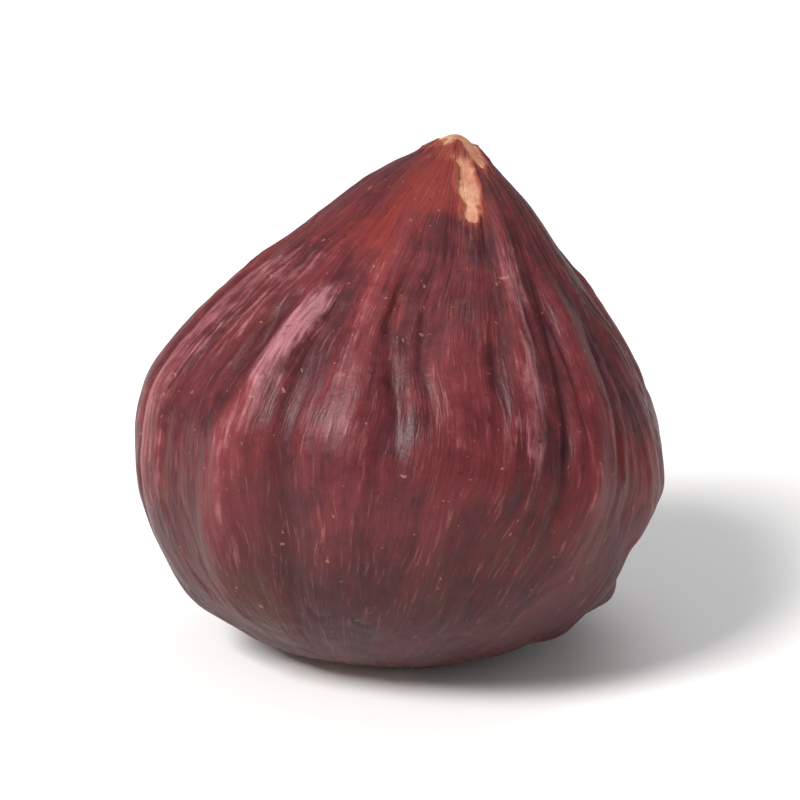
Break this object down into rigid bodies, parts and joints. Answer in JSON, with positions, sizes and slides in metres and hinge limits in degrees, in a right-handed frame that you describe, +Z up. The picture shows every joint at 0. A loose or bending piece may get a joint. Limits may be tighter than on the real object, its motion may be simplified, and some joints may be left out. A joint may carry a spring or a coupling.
{
  "type": "shelled hazelnut",
  "caption": "Hazelnut kernel in its brown papery skin: a ribbed teardrop with a pointed, pale tip, leaning slightly as it stands on the small flat spot of its base.",
  "frame": {"origin": "middle of the flat spot on the base that the kernel rests on, under its centre of mass", "axes": "+Z up, away from the flat spot; the tip leans about 15 degrees off +Z, to the right and to the back; -Y is the front and +X is the right"},
  "size_m": [0.014, 0.0132, 0.0137],
  "materials": {
    "kernel_skin": "dull, papery, reddish brown skin with a faint gloss on its ribs, worn to pale flesh at the tip"
  },
  "bodies": {
    "root": {"kernel": "kernel_skin"}
  },
  "joints": []
}
